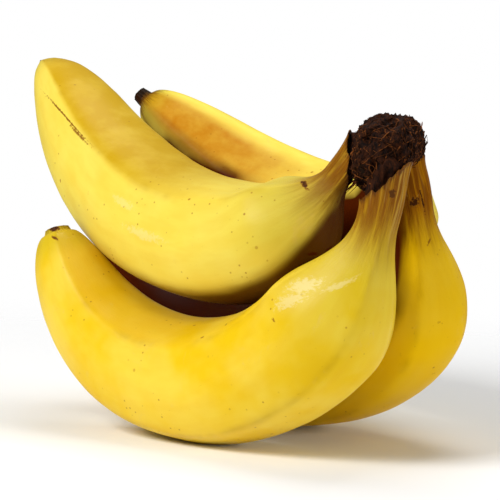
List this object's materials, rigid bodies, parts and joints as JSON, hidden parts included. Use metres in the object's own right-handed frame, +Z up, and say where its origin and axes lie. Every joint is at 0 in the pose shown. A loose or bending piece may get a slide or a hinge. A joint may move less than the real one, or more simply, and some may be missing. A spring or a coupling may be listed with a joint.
{
  "type": "bunch of bananas",
  "caption": "Hand of ripe bananas fanned out from one dried crown, lying on the bellies of its lower fruit with the tips curving up; fruit for a bowl, table or market display.",
  "frame": {"origin": "centre of the bunch's footprint, on the surface that it rests on", "axes": "+Z up, +X towards the crown, with the tips towards -X, and -Y towards the front banana"},
  "size_m": [0.188, 0.1266, 0.1155],
  "materials": {
    "peel": "waxy satin banana peel, lemon yellow, greener at the necks, with fine brown specks and black blossom ends",
    "crown_fibre": "dry, torn, dark brown fibres"
  },
  "bodies": {
    "root": {"banana_lower_front": "peel", "banana_lower_rear": "peel", "banana_upper_front": "peel", "banana_upper_rear": "peel", "crown": "crown_fibre"}
  },
  "joints": []
}
